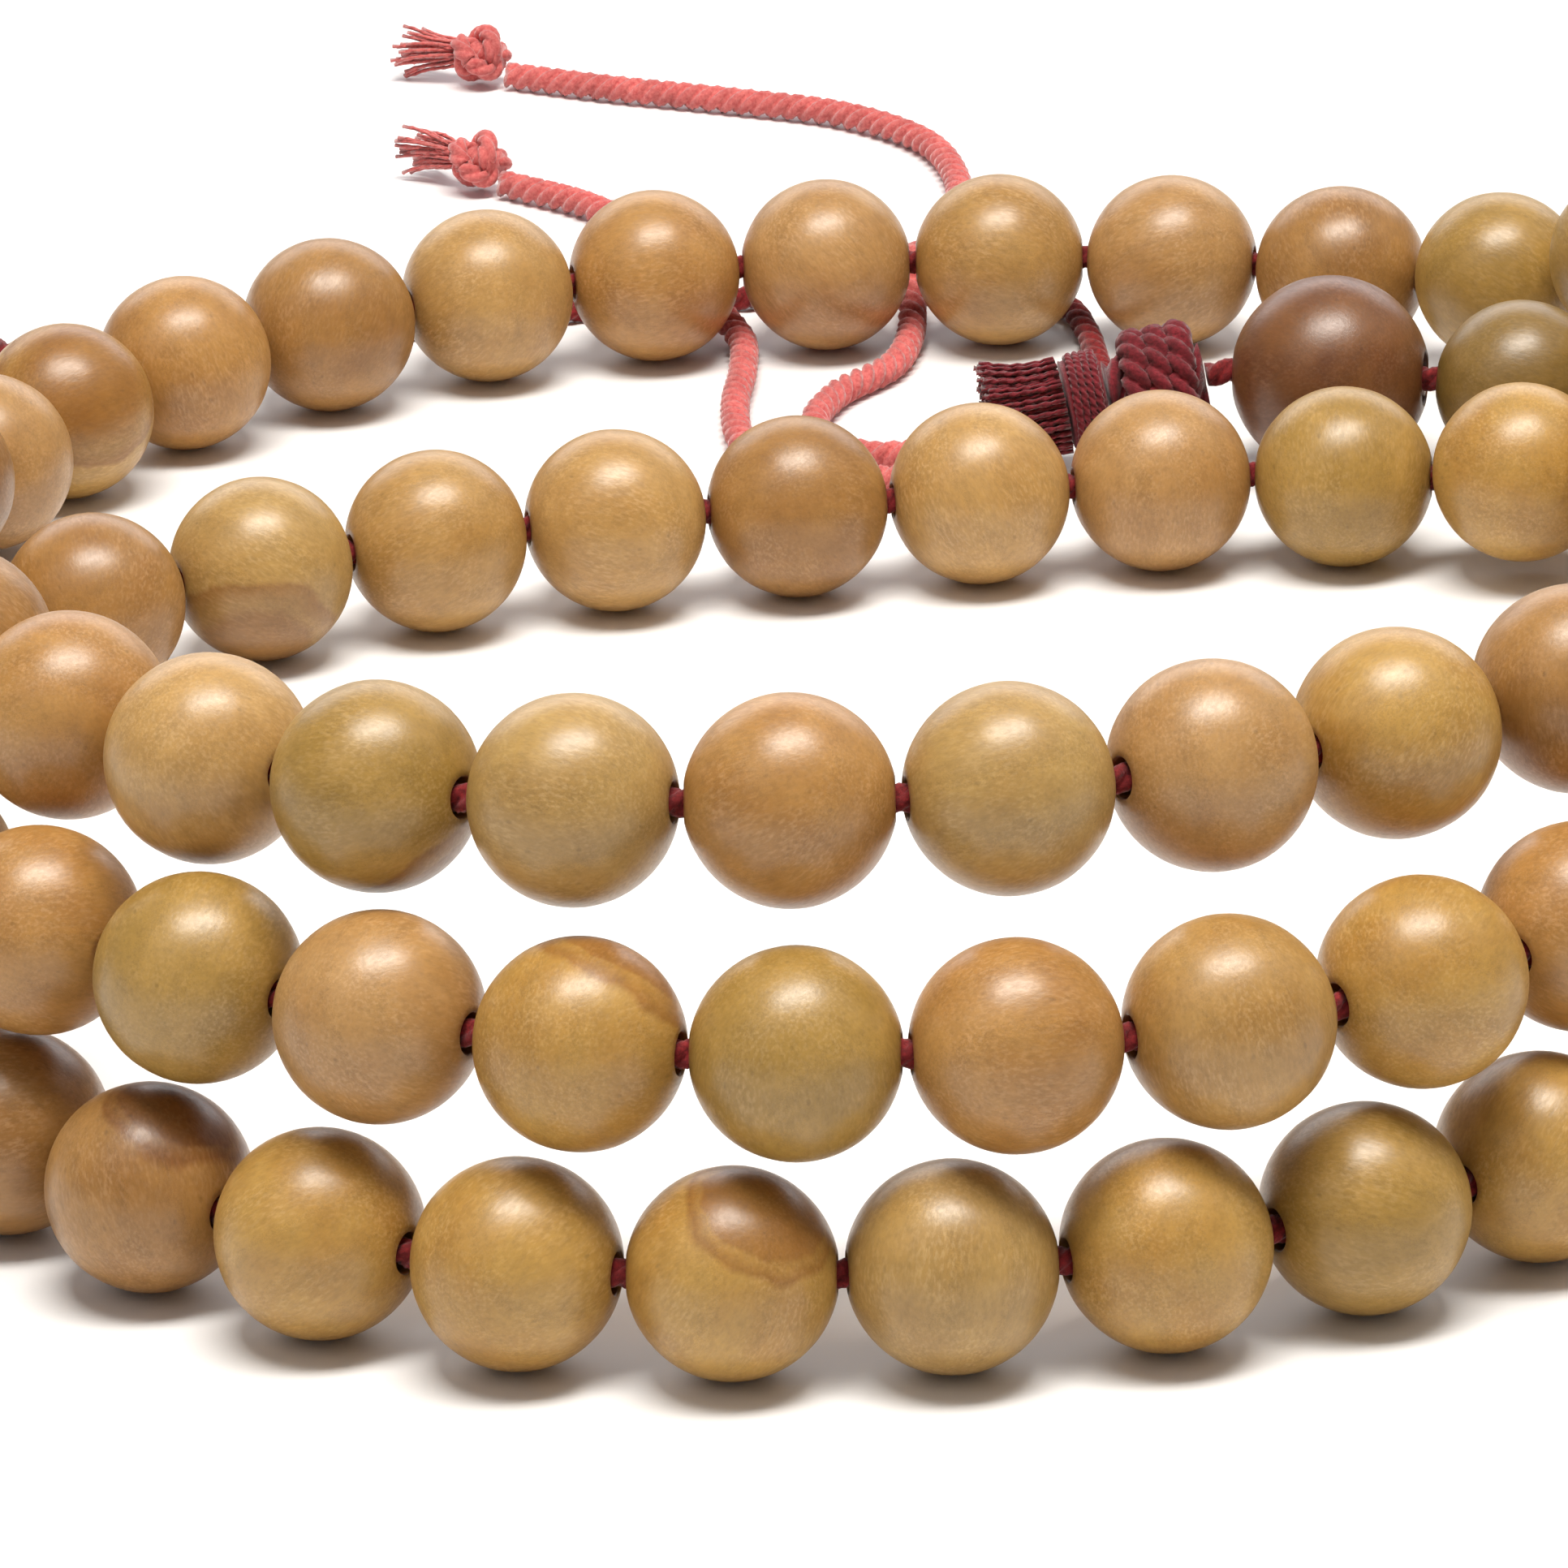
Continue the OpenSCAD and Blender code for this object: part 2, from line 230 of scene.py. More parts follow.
def bead_size(i):
    """A little under the largest size, and never touching the nearest neighbour."""
    nearest = min(np.linalg.norm(mids[i] - mids[k]) for k in range(BEADS) if k != i)
    return min(BEAD_D * (1 - BEAD_VARIATION * scatter(i)), nearest - BEAD_PLAY)


guru_aim = flat(bead_axis(0))
guru_mid = bends[0] - guru_aim * (GURU_D / 2 + BEAD_PLAY)
guru_mid[2] = GURU_D / 2
guru_mouth = guru_mid - guru_aim * (GURU_D / 2 + STRING_GAP)
tassel_run = KNOT_GAP + KNOT_LEN + BINDING_LEN + SKIRT_LEN + 2 * SEAT_GAP
tassel_fall = math.asin((GURU_D - SKIRT_D) / 2 / tassel_run)
tassel_aim = np.array([
    math.cos(tassel_fall) * math.cos(TASSEL_TURN),
    math.cos(tassel_fall) * math.sin(TASSEL_TURN),
    -math.sin(tassel_fall),
])
knot_face = guru_mouth + tassel_aim * KNOT_GAP
knot_end = knot_face + tassel_aim * KNOT_LEN
binding_start = knot_end + tassel_aim * SEAT_GAP
skirt_start = binding_start + tassel_aim * (BINDING_LEN + SEAT_GAP)
skirt_end = skirt_start + tassel_aim * SKIRT_LEN
knot_mid = (knot_face + knot_end) / 2


def planned(points, thickness):
    """A cord's route in metres, from millimetres across and back and a height in thicknesses."""
    return [np.array([x * MM * plan, y * MM * plan, z * thickness]) for x, y, z in points]


slack_plan = planned(SLACK, STRING_D)
slack_aim = flat(knot_mid - slack_plan[-1])
slack_stop = knot_mid - slack_aim * (KNOT_D / 2 + STRING_GAP)
slack_lead = slack_stop - slack_aim * STRING_D - np.array([0, 0, STRING_D / 4])
skirt_side = flat(np.cross(tassel_aim, up))
exit_low = up * SKIRT_D / 4
long_exit = skirt_end + tassel_aim * SEAT_GAP + skirt_side * SKIRT_D / 4 - exit_low
short_exit = skirt_end + tassel_aim * SEAT_GAP - skirt_side * SKIRT_D / 4 - exit_low

beads_low = np.array([bead_mid(i) - bead_size(i) / 2 for i in range(BEADS)]).min(axis=0)
beads_high = np.array([bead_mid(i) + bead_size(i) / 2 for i in range(BEADS)]).max(axis=0)
slack_cad = lift(curve([bends[-1], *slack_plan, slack_lead, slack_stop], SLACK_STEPS), STRING_D / 2)
back = max(beads_high[1], slack_cad[:, 1].max() + STRING_D / 2)
ORIGIN = np.array([(beads_low[0] + beads_high[0]) / 2, (beads_low[1] + back) / 2, 0])


# ---------------------------------------------------------------- camera

# The camera stands in front of the rows and looks down on them
CAMERA_AT = np.array([0.0, -365.5, 167.5]) * MM * SIZE
CAMERA_DOWN = math.radians(21.5)
CAMERA_ROLL = math.radians(1.5)
SENSOR = 36
LENS = 247.6

camera_data = bpy.data.cameras.new("camera")
camera_data.lens = LENS
camera_data.sensor_width = SENSOR
camera_data.clip_start = 0.01
camera_data.clip_end = 20
camera = bpy.data.objects.new("camera", camera_data)
camera.location = Vector(CAMERA_AT - ORIGIN)
camera.rotation_mode = "QUATERNION"
ahead = Vector((0, math.cos(CAMERA_DOWN), -math.sin(CAMERA_DOWN)))
camera.rotation_quaternion = (
    Matrix.Rotation(CAMERA_ROLL, 3, ahead) @ ahead.to_track_quat("-Z", "Y").to_matrix()
).to_quaternion()
bpy.context.scene.collection.objects.link(camera)
bpy.context.scene.camera = camera


# ---------------------------------------------------------------- materials

def srgb(r, g, b):
    """A colour from its 0 to 255 screen values, for a material."""
    def linear(c):
        c = c / 255
        return c / 12.92 if c <= 0.04045 else ((c + 0.055) / 1.055) ** 2.4
    return (linear(r), linear(g), linear(b), 1.0)


class Nodes:
    """A short way to add and link a material's nodes."""

    def __init__(self, name):
        self.material = bpy.data.materials.new(name)
        self.material.use_nodes = True
        self.tree = self.material.node_tree
        self.shader = self.tree.nodes["Principled BSDF"]
        self.place = self.add("ShaderNodeTexCoord").outputs["Object"]

    def add(self, kind, **values):
        node = self.tree.nodes.new(kind)
        for key, value in values.items():
            setattr(node, key, value)
        return node

    def link(self, out, socket):
        self.tree.links.new(out, socket)

    def mapped(self, scale=(1, 1, 1), turn=(0, 0, 0), shift=(0, 0, 0), source=None):
        node = self.add("ShaderNodeMapping")
        self.link(source or self.place, node.inputs["Vector"])
        node.inputs["Scale"].default_value = scale
        node.inputs["Rotation"].default_value = turn
        node.inputs["Location"].default_value = shift
        return node.outputs["Vector"]

    def noise(self, where, scale, detail=3, rough=0.5, distortion=0.0):
        node = self.add("ShaderNodeTexNoise")
        self.link(where, node.inputs["Vector"])
        node.inputs["Scale"].default_value = scale
        node.inputs["Detail"].default_value = detail
        node.inputs["Roughness"].default_value = rough
        node.inputs["Distortion"].default_value = distortion
        return node.outputs["Fac"]

    def ramp(self, fac, *stops):
        """Maps a factor through (position, value) stops to a factor or a colour."""
        node = self.add("ShaderNodeValToRGB")
        self.link(fac, node.inputs["Fac"])
        elements = node.color_ramp.elements
        while len(elements) < len(stops):
            elements.new(0.5)
        for element, (position, value) in zip(elements, stops):
            element.position = position
            element.color = value if hasattr(value, "__len__") else (value, value, value, 1)
        return node.outputs["Color"]

    def math(self, kind, a, b):
        node = self.add("ShaderNodeMath", operation=kind)
        for socket, value in zip(node.inputs, (a, b)):
            if isinstance(value, (int, float)):
                socket.default_value = value
            else:
                self.link(value, socket)
        return node.outputs["Value"]

    def mix(self, fac, a, b, how="MIX"):
        node = self.add("ShaderNodeMix", data_type="RGBA", blend_type=how)
        for socket, value in zip((node.inputs[0], node.inputs[6], node.inputs[7]), (fac, a, b)):
            if isinstance(value, (int, float, tuple)):
                socket.default_value = value
            else:
                self.link(value, socket)
        return node.outputs[2]

    def bump(self, height, strength, distance):
        node = self.add("ShaderNodeBump")
        node.inputs["Strength"].default_value = strength
        node.inputs["Distance"].default_value = distance
        self.link(height, node.inputs["Height"])
        self.link(node.outputs["Normal"], self.shader.inputs["Normal"])

    def finish(self, **sockets):
        for name, value in sockets.items():
            socket = self.shader.inputs[name.replace("_", " ")]
            if isinstance(value, (int, float, tuple)):
                socket.default_value = value
            else:
                self.link(value, socket)
        return self.material


# The wood's tones, each as its main colour and the colour of its patches
TONES = {
    "tan": (srgb(184, 142, 80), srgb(170, 126, 64)),
    "light": (srgb(192, 150, 88), srgb(180, 136, 74)),
    "olive": (srgb(176, 138, 70), srgb(160, 124, 56)),
    "khaki": (srgb(184, 147, 84), srgb(172, 134, 74)),
    "orange": (srgb(184, 136, 74), srgb(168, 118, 58)),
    "golden": (srgb(188, 146, 74), srgb(174, 128, 58)),
    "pink": (srgb(186, 142, 86), srgb(174, 128, 72)),
    "brown": (srgb(170, 124, 66), srgb(152, 106, 52)),
}
# Painted shade: the guru bead's darker tone stands for the shadow it lies in under the upper row
GURU_SHADED_TONE = (srgb(128, 82, 42), srgb(104, 60, 30))

# The beads of the front rows from left to right, with the tone of each
SHOWN_ROWS = {
    95: "orange light olive khaki orange khaki pink golden brown",
    54: "orange olive pink golden olive orange tan golden orange",
    20: "brown brown golden golden golden khaki golden olive golden",
}
tone_of = {i: random.choice(list(TONES)) for i in range(BEADS)}
for leftmost, tones in SHOWN_ROWS.items():
    for k, tone in enumerate(tones.split()):
        tone_of[leftmost - k] = tone

# Beads with a darker heartwood band, and how far up the bead it starts, in radii
BANDS = {51: 0.78, 16: 0.84, 93: 0.78, 19: 0.85, 29: 0.7, 65: 0.5, 71: 0.75, 4: 0.3, 101: 0.6}


def wood(name, tone, band=None, shade_factor=1.0):
    """Turned close-grained wood: patches, faint growth rings, short fibres, pale flecks and specks."""
    n = Nodes(name)
    # The factor below darkens both colours: painted shade for the beads that lie in the upper row's shadow
    main, patch = (tuple(c * shade_factor for c in colour[:3]) + (1.0,) for colour in tone)
    turn = tuple(random.uniform(0, math.tau) for _ in range(3))
    seed = tuple(random.uniform(-1, 1) for _ in range(3))
    where = n.mapped(turn=turn, shift=seed)
    along = n.mapped(scale=(0.4, 1, 1), source=where)

    patches = n.ramp(n.noise(where, 260, detail=2, rough=0.6), (0.36, 0.0), (0.66, 1.0))
    colour = n.mix(patches, main, patch)

    rings = n.add("ShaderNodeTexWave", wave_type="BANDS", bands_direction="Y", wave_profile="SAW")
    n.link(where, rings.inputs["Vector"])
    rings.inputs["Scale"].default_value = random.uniform(120, 210)
    rings.inputs["Distortion"].default_value = 3.5
    rings.inputs["Detail"].default_value = 2
    rings.inputs["Detail Scale"].default_value = 90
    ring_mask = n.ramp(rings.outputs["Fac"], (0.0, 1.0), (0.75, 0.95), (1.0, 0.84))
    colour = n.mix(1.0, colour, ring_mask, "MULTIPLY")

    fibres = n.noise(along, 5200, detail=4, rough=0.65)
    fibre_mask = n.ramp(fibres, (0.34, 0.88), (0.52, 1.0), (0.72, 1.05))
    colour = n.mix(1.0, colour, fibre_mask, "MULTIPLY")

    pale = tuple(1.15 * c + 0.2 * main[0] for c in main[:3]) + (1.0,)
    fleck_places = n.ramp(n.noise(where, 420, detail=2), (0.35, 0.15), (0.65, 0.75))
    flecks = n.ramp(n.noise(along, 7600, detail=2, rough=0.5), (0.46, 0.0), (0.68, 0.55))
    colour = n.mix(n.math("MULTIPLY", flecks, fleck_places), colour, pale)

    mottle = n.noise(where, 1500, detail=3, rough=0.6)
    mottle_mask = n.ramp(mottle, (0.3, 0.91), (0.62, 1.03))
    colour = n.mix(1.0, colour, mottle_mask, "MULTIPLY")

    specks = n.add("ShaderNodeTexVoronoi", feature="F1")
    n.link(n.mapped(scale=(0.5, 1, 1), source=where), specks.inputs["Vector"])
    specks.inputs["Scale"].default_value = 1100
    speck_mask = n.ramp(specks.outputs["Distance"], (0.05, 0.45), (0.11, 1.0))
    colour = n.mix(0.35, colour, n.mix(1.0, colour, speck_mask, "MULTIPLY"))

    if band is not None:
        along_y = n.add("ShaderNodeSeparateXYZ")
        n.link(n.mapped(turn=(0.4, 0.3, 0)), along_y.inputs["Vector"])
        wavy = n.math("ADD", along_y.outputs["Y"], n.math("MULTIPLY", n.noise(where, 320), 1.4 * MM))
        level = n.math("DIVIDE", wavy, BEAD_D / 2)
        heart = n.ramp(
            level, (band, 0.0), (min(band + 0.05, 0.94), 0.55), (min(band + 0.22, 0.97), 0.25), (1.0, 0.6),
        )
        colour = n.mix(heart, colour, srgb(186, 142, 108), "MULTIPLY")

    gloss = n.ramp(fibres, (0.3, 0.43), (0.7, 0.32))
    n.bump(n.math("ADD", fibres, n.math("MULTIPLY", mottle, 0.7)), 0.22, 0.05 * MM)
    return n.finish(
        Base_Color=colour, Roughness=gloss, Specular_IOR_Level=0.55, Coat_Weight=0.2, Coat_Roughness=0.3,
        Subsurface_Weight=0.06, Subsurface_Radius=(0.6 * MM, 0.35 * MM, 0.2 * MM), Subsurface_Scale=1.0,
    )


def thread(name, deep, bright, fuzz=0.35):
    """Spun thread: fine fibres in two tones, with a soft sheen."""
    n = Nodes(name)
    fibres = n.noise(n.mapped(), 5200, detail=4, rough=0.7)
    patches = n.noise(n.mapped(), 700, detail=2)
    colour = n.mix(n.ramp(fibres, (0.32, 0.0), (0.68, 1.0)), deep, bright)
    colour = n.mix(1.0, colour, n.ramp(patches, (0.3, 0.8), (0.7, 1.1)), "MULTIPLY")
    n.bump(fibres, 0.5, 0.08 * MM)
    return n.finish(
        Base_Color=colour, Roughness=n.ramp(fibres, (0.3, 0.9), (0.7, 0.68)),
        Sheen_Weight=fuzz, Sheen_Roughness=0.5, Specular_IOR_Level=0.25,
    )


cord_red = thread("cord_red", srgb(92, 10, 14), srgb(150, 28, 30))
tassel_maroon = thread("tassel_maroon", srgb(84, 10, 20), srgb(138, 26, 40))
tail_red = thread("tail_red", srgb(196, 76, 76), srgb(228, 126, 120), fuzz=0.5)


# ---------------------------------------------------------------- mesh makers

def to_object(name, mesh_builder, material, place=None):
    """Makes an object in the row frame from a bmesh, smooth shaded."""
    mesh = bpy.data.meshes.new(name)
    mesh_builder.to_mesh(mesh)
    mesh_builder.free()
    for face in mesh.polygons:
        face.use_smooth = True
    mesh.materials.append(material)
    made = bpy.data.objects.new(name, mesh)
    if place is not None:
        made.matrix_world = place
    bpy.context.scene.collection.objects.link(made)
    return made


def standing(mid, aim, spin=0.0):
    """The place of a piece made along Z, moved to mid and turned along aim."""
    turn = Vector(aim).to_track_quat("Z", "Y").to_matrix().to_4x4()
    return Matrix.Translation(Vector(mid - ORIGIN)) @ turn @ Matrix.Rotation(spin, 4, "Z")


BEAD_SIDES = 64
BEAD_ARC = 40
BEAD_SHORT = 0.995
MOUTH = 0.07 * MM
LIP = 0.06 * MM
LUMPS = 0.018  # mm


def bead_mesh(d, bore_r, seed):
    """A turned bead along Z: bored through, with rounded mouths, a little short, never quite round."""
    radius = d / 2
    mouth = bore_r + MOUTH
    top = math.sqrt(radius**2 - (mouth + LIP * 0.4) ** 2) * BEAD_SHORT
    depth = 2.4 * LIP
    flare = mouth - bore_r
    outline = []
    for k in range(7):
        outline.append((bore_r, (2 * k / 6 - 1) * (top - depth)))
    for k in range(1, 5):
        a = math.pi / 2 * k / 5
        outline.append((bore_r + flare * (1 - math.cos(a)), top - depth * (1 - math.sin(a))))
    first = math.atan2(mouth, top / BEAD_SHORT)
    for k in range(BEAD_ARC + 1):
        a = first + (math.pi - 2 * first) * k / BEAD_ARC
        outline.append((radius * math.sin(a), radius * BEAD_SHORT * math.cos(a)))
    for k in range(4, 0, -1):
        a = math.pi / 2 * k / 5
        outline.append((bore_r + flare * (1 - math.cos(a)), -top + depth * (1 - math.sin(a))))

    bm = bmesh.new()
    shift = Vector((seed * 3.7, seed * 1.3, seed * 2.1))
    rings = []
    for r, z in outline:
        ring = []
        for k in range(BEAD_SIDES):
            a = math.tau * k / BEAD_SIDES
            p = Vector((r * math.cos(a), r * math.sin(a), z))
            if r > bore_r + 0.01 * MM:
                lump = noise.noise(p / (2.6 * MM) + shift) + 0.5 * noise.noise(p / (1.1 * MM) - shift)
                p += p.normalized() * (lump - 0.7) * LUMPS * MM
            ring.append(bm.verts.new(p))
        rings.append(ring)
    count = len(rings)
    for j in range(count):
        a, b = rings[j], rings[(j + 1) % count]
        for k in range(BEAD_SIDES):
            m = (k + 1) % BEAD_SIDES
            bm.faces.new((a[k], a[m], b[m], b[k]))
    bmesh.ops.recalc_face_normals(bm, faces=bm.faces)
    return bm


def frames_along(line):
    """A direction and two sides for each point, carried along so that they never twist by themselves."""
    steps = np.diff(line, axis=0)
    steps /= np.linalg.norm(steps, axis=1)[:, None]
    aim = np.vstack([steps[:1], steps[:-1] + steps[1:], steps[-1:]])
    aim /= np.linalg.norm(aim, axis=1)[:, None]
    side = unit(np.cross(aim[0], up if abs(aim[0][2]) < 0.9 else np.array([1.0, 0, 0])))
    sides = [side]
    for a in aim[1:]:
        side = unit(side - a * np.dot(side, a))
        sides.append(side)
    sides = np.array(sides)
    return sides, np.cross(sides, aim)


def ply_outline(plies, points):
    """The outline of plies pressed together, as (angle, share of the radius)."""
    ply_r, off = (0.57, 0.43) if plies > 2 else (0.56, 0.44)
    outline = []
    for k in range(points * plies):
        a = math.tau * k / (points * plies)
        lobe = (a + math.pi / plies) % (math.tau / plies) - math.pi / plies
        inside = max(ply_r**2 - (off * math.sin(lobe)) ** 2, 0.0)
        outline.append((a, off * math.cos(lobe) + math.sqrt(inside)))
    return outline


def sweep(bm, line, radius, plies=3, points=6, lay=3.0 * MM):
    """Adds a twisted cord along a line: its plies turn once in each lay, and its ends are closed."""
    u, v = frames_along(line)
    dist = distances(line)
    if plies > 1:
        outline = ply_outline(plies, points)
    else:
        outline = [(math.tau * k / points, 1) for k in range(points)]
    rings = []
    for j, p in enumerate(line):
        turn = math.tau * dist[j] / lay
        ring = []
        for a, share in outline:
            out = math.cos(a + turn) * u[j] + math.sin(a + turn) * v[j]
            ring.append(bm.verts.new(p - ORIGIN + radius * share * out))
        rings.append(ring)
    n = len(outline)
    for a, b in zip(rings, rings[1:]):
        for k in range(n):
            m = (k + 1) % n
            bm.faces.new((a[k], a[m], b[m], b[k]))
    for ring, at_end in ((rings[0], False), (rings[-1], True)):
        middle = bm.verts.new(sum((x.co for x in ring), Vector()) / n)
        for k in range(n):
            m = (k + 1) % n
            bm.faces.new((ring[k], ring[m], middle) if at_end else (ring[m], ring[k], middle))


def tidy(bm):
    bmesh.ops.recalc_face_normals(bm, faces=bm.faces)
    return bm


# ---------------------------------------------------------------- the tails, which are free cords

TAIL_STEP = 0.3 * MM


def tail_line(start, points):
    line = curve([start, start + tassel_aim * TAIL_D, *planned(points, TAIL_D)], CURVE_STEPS)
    return evenly(lift(line, TAIL_D / 2), TAIL_STEP)


def knot_piece(name, line):
    """The knot at a tail's end: the cord tied round itself, then its plies frayed into a tuft."""
    aim = flat(line[-1] - line[-2])
    mid = np.array([line[-1][0], line[-1][1], TAIL_KNOT_D / 2]) + aim * TAIL_KNOT_D / 2
    side = np.cross(up, aim)
    bm = bmesh.new()
    tube = TAIL_D * 0.36
    hold = TAIL_KNOT_D / 2 - tube
    loop = []
    for k in range(97):
        a = math.tau * k / 96
        r = hold * (0.62 + 0.38 * math.cos(3 * a))
        lobe = mid + side * r * math.cos(2 * a) + up * r * math.sin(2 * a)
        loop.append(lobe + aim * hold * 0.8 * math.sin(3 * a))
    sweep(bm, np.array(loop), tube, lay=2.2 * MM)
    core = []
    for k in range(9):
        core.append(mid + aim * (k / 4 - 1) * TAIL_KNOT_D * 0.36)
    sweep(bm, np.array(core), TAIL_KNOT_D * 0.22, plies=1, points=12)
    for k in range(34):
        ring = math.sqrt(random.random())
        a = random.uniform(0, math.tau)
        spread = side * math.cos(a) + up * math.sin(a)
        reach_out = TUFT_LEN * random.uniform(0.75, 1.0)
        strand = []
        for j in range(7):
            t = j / 6
            wide = TAIL_KNOT_D * (0.16 + 0.30 * t) * ring
            wave = 0.12 * MM * math.sin(5 * t + k)
            p = mid + aim * (TAIL_KNOT_D * 0.3 + reach_out * t) + spread * (wide + wave)
            p = p - up * TAIL_KNOT_D * 0.12 * t * t
            strand.append(np.array([p[0], p[1], max(p[2], 0.12 * MM)]))
        sweep(bm, np.array(strand), 0.11 * MM, plies=1, points=5)
    return to_object(name, tidy(bm), tail_red)


for tail_name, exit_point, route_points in (
    ("long_tail", long_exit, LONG_TAIL),
    ("short_tail", short_exit, SHORT_TAIL),
):
    line = tail_line(exit_point, route_points)
    bm = bmesh.new()
    sweep(bm, line, TAIL_D / 2, lay=2.6 * MM)
    tail = to_object(tail_name + "_cord", tidy(bm), tail_red)
    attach(tail, "strand")
    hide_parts(tail_name)
    knot = knot_piece(tail_name + "_end", line)
    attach(knot, "strand")
    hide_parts(tail_name + "_knot")


# ---------------------------------------------------------------- the beads

# Painted shade: the first beads beside the guru bead are darkened, like it, to stand for the shadow of the
# upper row they lie under
SHADED_BEADS = 3
SHADED_TONE_FACTOR = 0.62

GROUPS = {
    "beads_right_floor": (0, LOW_FIRST),
    "beads_left_floor": (LOW_FIRST + ROW_BEADS, 33),
    "beads_back_climb": (33, MID_FIRST),
    "beads_left_down": (MID_FIRST + ROW_BEADS, 66),
    "beads_back_far": (66, 76),
    "beads_right_high": (76, TOP_FIRST),
    "beads_left_last": (TOP_FIRST + ROW_BEADS, BEADS),
}


def place_bead(name, i, body, node):
    mesh = bead_mesh(bead_size(i), BORE_R * random.uniform(0.94, 1.0), i + 1)
    # The first beads get painted shade: a darker tone for the shadow they lie in
    material = wood("wood_" + name, TONES[tone_of[i]], BANDS.get(i), shade_factor=SHADED_TONE_FACTOR if i < SHADED_BEADS else 1.0)
    bead = to_object(name, mesh, material, standing(bead_mid(i), bead_axis(i), random.uniform(0, math.tau)))
    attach(bead, body)
    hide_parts(node)


for row, first in (("low", LOW_FIRST), ("mid", MID_FIRST), ("top", TOP_FIRST)):
    for k in range(ROW_BEADS):
        node = f"bead_{row}_{k + 1:02d}"
        low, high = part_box(node)
        seat = Vector(bead_mid(first + k) - ORIGIN)
        if ((low + high) / 2 - seat).length > 0.05 * MM:
            raise ValueError(f"{node} isn't where its route puts it")
        place_bead(node + "_wood", first + k, node, node)
for node, (first, end) in GROUPS.items():
    for i in range(first, end):
        place_bead(f"{node}_{i - first + 1:02d}_wood", i, "strand", node)

# The guru bead's darker tone is painted shade
guru = to_object(
    "guru_bead_wood", bead_mesh(GURU_D, GURU_BORE_R, 200), wood("wood_guru", GURU_SHADED_TONE),
    standing(guru_mid, guru_aim, 1.0),
)
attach(guru, "guru_bead")
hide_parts("guru_bead")


# ---------------------------------------------------------------- the stringing thread

thread_points = [knot_face - tassel_aim * SEAT_GAP, guru_mouth, guru_mid]
for i in range(BEADS):
    thread_points += [bends[i], bead_mid(i)]
thread_points += [bends[BEADS], *slack_plan, slack_lead, slack_stop]
thread_line = evenly(lift(curve(thread_points, 8), STRING_D / 2), 0.3 * MM)
bm = bmesh.new()
sweep(bm, thread_line, STRING_D / 2, points=6, lay=3.2 * MM)
string = to_object("string_thread", tidy(bm), cord_red)
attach(string, "strand")
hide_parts("string_cord")


# ---------------------------------------------------------------- knot, binding and tassel

def side_pair(aim):
    side = unit(np.cross(aim, up))
    return side, np.cross(side, aim)


tassel_side, tassel_up = side_pair(tassel_aim)


def coil(start, length, radius, wire, turns, steps=40):
    """The line of a thread wound round the tassel's line."""
    line = []
    for k in range(int(turns * steps) + 1):
        t = k / (turns * steps)
        a = math.tau * turns * t
        out = math.cos(a) * tassel_side + math.sin(a) * tassel_up
        line.append(start + tassel_aim * (wire + (length - 2 * wire) * t) + (radius - wire) * out)
    return np.array(line)


def core_line(start, end, short, step):
    """The straight middle of a wound piece, kept a little short at both ends."""
    return evenly(np.array([start + tassel_aim * short, end - tassel_aim * short]), step)


# The knot: three turns of twisted thread round a core
KNOT_WRAPS = 3
bm = bmesh.new()
wrap_r = KNOT_LEN / KNOT_WRAPS / 2
sweep(bm, coil(knot_face, KNOT_LEN, KNOT_D / 2, wrap_r, KNOT_WRAPS), wrap_r * 1.02, lay=2.6 * MM, points=8)
core = core_line(knot_face, knot_end, 0.1 * MM, 0.4 * MM)
sweep(bm, core, KNOT_D / 2 - 1.3 * wrap_r, lay=4 * MM, points=10)
knot = to_object("wrapped_knot_thread", tidy(bm), tassel_maroon)
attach(knot, "strand")
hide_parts("wrapped_knot")

# The binding: four turns of finer thread
BINDING_TURNS = 4
BINDING_THREAD_R = 0.24 * MM
bm = bmesh.new()
windings = coil(binding_start, BINDING_LEN, BINDING_D / 2, BINDING_THREAD_R, BINDING_TURNS)
sweep(bm, windings, BINDING_THREAD_R, lay=1.2 * MM, points=5)
core = core_line(binding_start, binding_start + tassel_aim * BINDING_LEN, 0.05 * MM, 0.3 * MM)
sweep(bm, core, BINDING_D / 2 - 1.2 * BINDING_THREAD_R, plies=1, points=24)
binding = to_object("tassel_binding_thread", tidy(bm), tassel_maroon)
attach(binding, "strand")
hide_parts("tassel_binding")

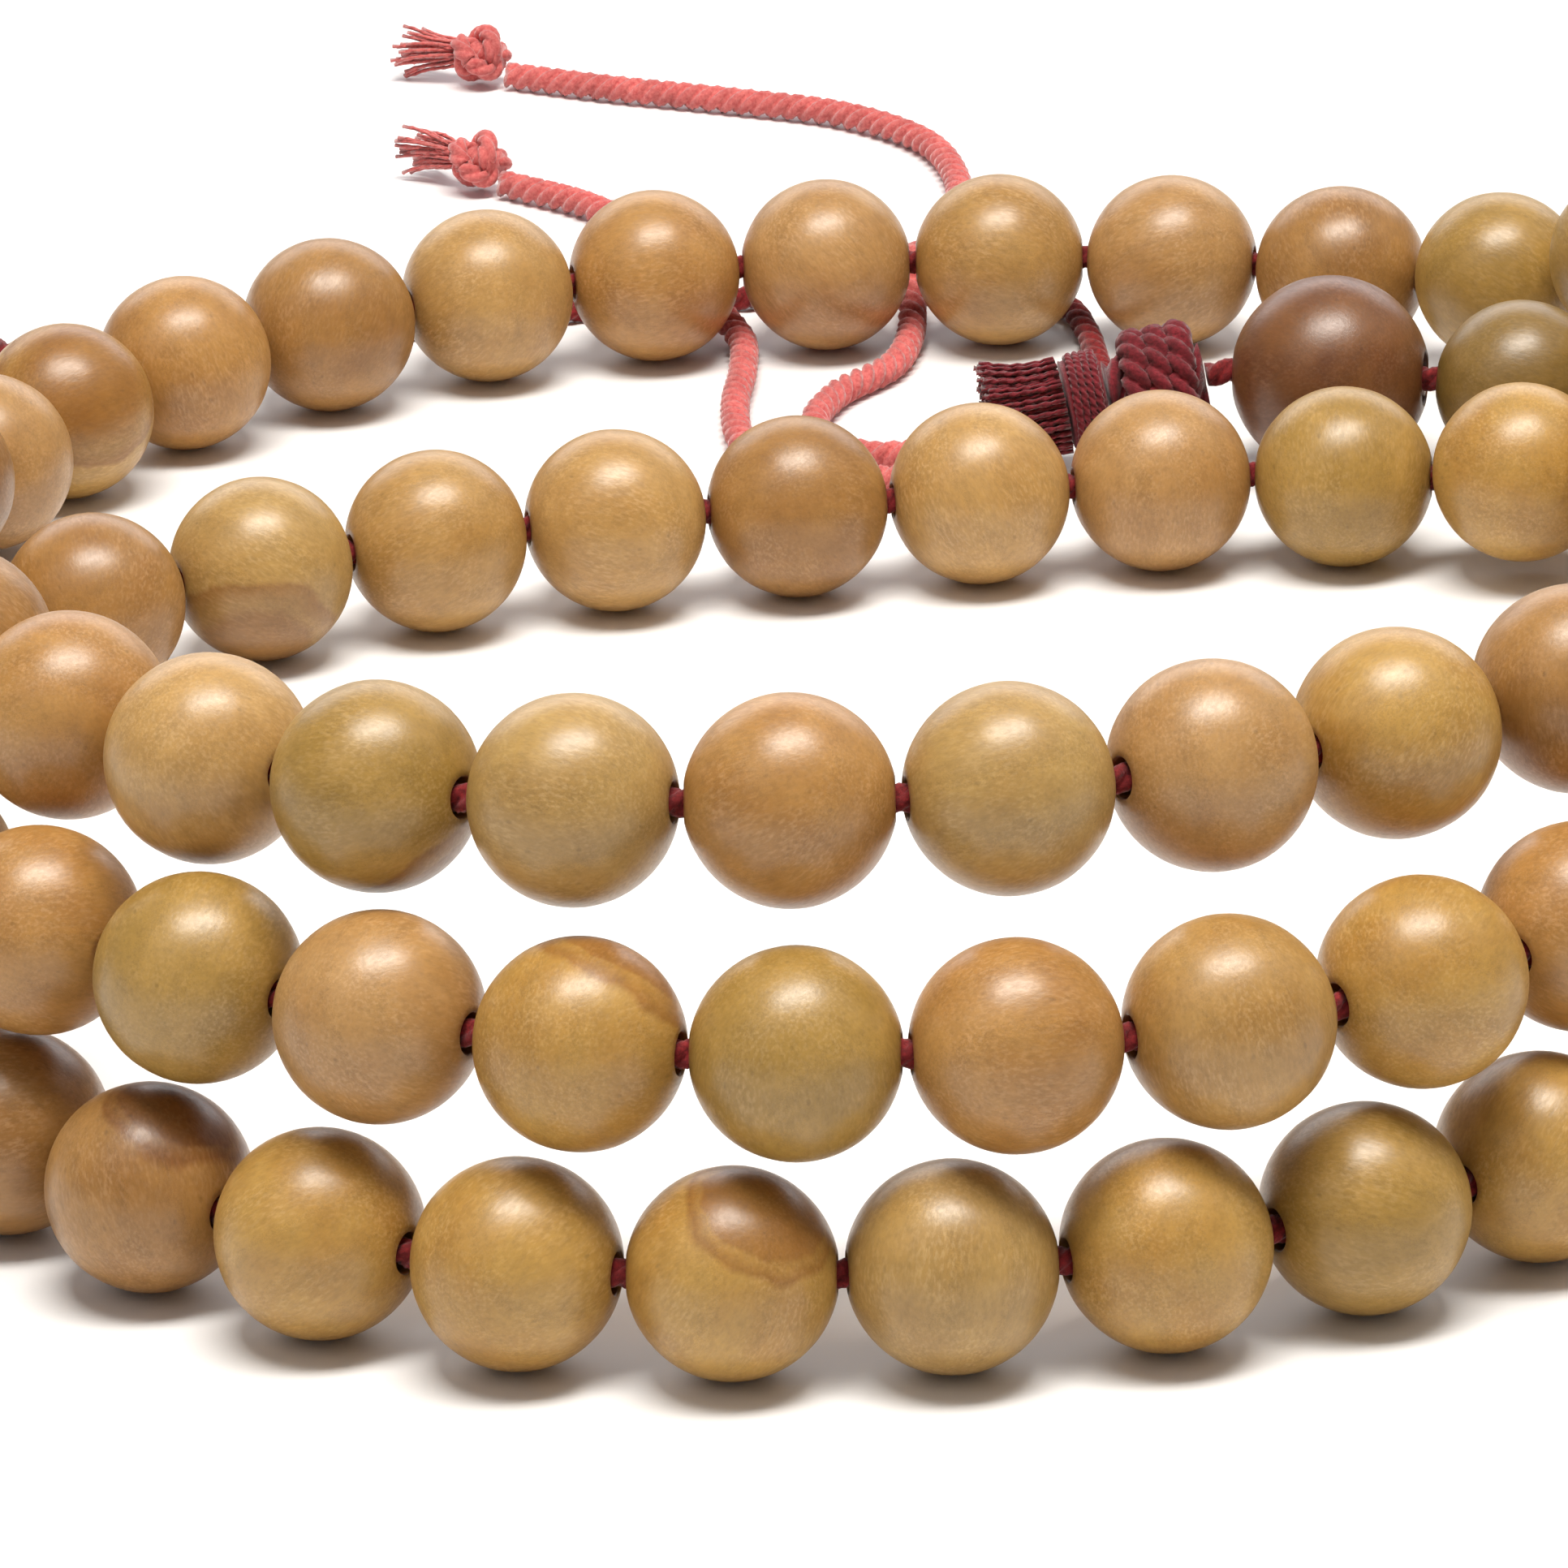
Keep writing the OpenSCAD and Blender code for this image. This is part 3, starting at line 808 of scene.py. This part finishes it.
# The skirt: bundled threads that flare from the binding and end unevenly
SKIRT_THREADS = 190
SKIRT_THREAD_R = 0.15 * MM
bm = bmesh.new()
for k in range(SKIRT_THREADS):
    share = math.sqrt((k + 0.5) / SKIRT_THREADS)
    a = k * math.pi * (3 - math.sqrt(5))
    spread = math.cos(a) * tassel_side + math.sin(a) * tassel_up
    end = random.uniform(0.88, 1.0)
    strand = []
    for j in range(9):
        t = j / 8
        near, far = BINDING_D / 2 - SKIRT_THREAD_R, SKIRT_D / 2 - SKIRT_THREAD_R
        r = share * (near * (1 - t) + far * t) * (1 - 0.1 * math.sin(math.pi * t))
        strand.append(skirt_start + tassel_aim * SKIRT_LEN * end * t + spread * r)
    sweep(bm, np.array(strand), SKIRT_THREAD_R, plies=2, points=4, lay=1.4 * MM)
skirt = to_object("tassel_skirt_threads", tidy(bm), tassel_maroon)
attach(skirt, "strand")
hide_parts("tassel_skirt")


# ---------------------------------------------------------------- floor and light

bm = bmesh.new()
bmesh.ops.create_grid(bm, x_segments=8, y_segments=8, size=4)
n = Nodes("table")
grain = n.noise(n.mapped(), 40, detail=3)
floor_material = n.finish(
    Base_Color=n.ramp(grain, (0.3, (0.88, 0.88, 0.89, 1)), (0.7, (0.90, 0.90, 0.91, 1))), Roughness=0.6,
)
floor = to_object("table", bm, floor_material)

world = bpy.data.worlds.new("room")
world.use_nodes = True
world.node_tree.nodes["Background"].inputs["Color"].default_value = (0.97, 0.98, 1.0, 1)
world.node_tree.nodes["Background"].inputs["Strength"].default_value = 0.2
bpy.context.scene.world = world
bpy.context.scene.view_settings.view_transform = "Standard"


def softbox(name, where, size, power, colour=(1, 1, 1)):
    """A rectangular light that looks at the middle of the beads."""
    data = bpy.data.lights.new(name, "AREA")
    data.shape = "RECTANGLE"
    data.size, data.size_y = size
    data.energy = power
    data.color = colour
    made = bpy.data.objects.new(name, data)
    made.location = where
    made.rotation_mode = "QUATERNION"
    made.rotation_quaternion = (-Vector(where)).to_track_quat("-Z", "Y")
    bpy.context.scene.collection.objects.link(made)


softbox("overhead", (0.02, -0.08, 0.62), (0.42, 0.18), 5.2, (1.0, 0.965, 0.90))
softbox("room_left", (-0.7, -0.5, 0.9), (0.7, 0.7), 1.0, (1.0, 0.99, 0.97))
softbox("backdrop", (0.0, 0.9, 0.42), (1.4, 0.5), 4.5, (0.98, 0.98, 1.0))
softbox("room_right", (0.8, 0.2, 0.9), (0.7, 0.7), 0.8, (0.97, 0.98, 1.0))
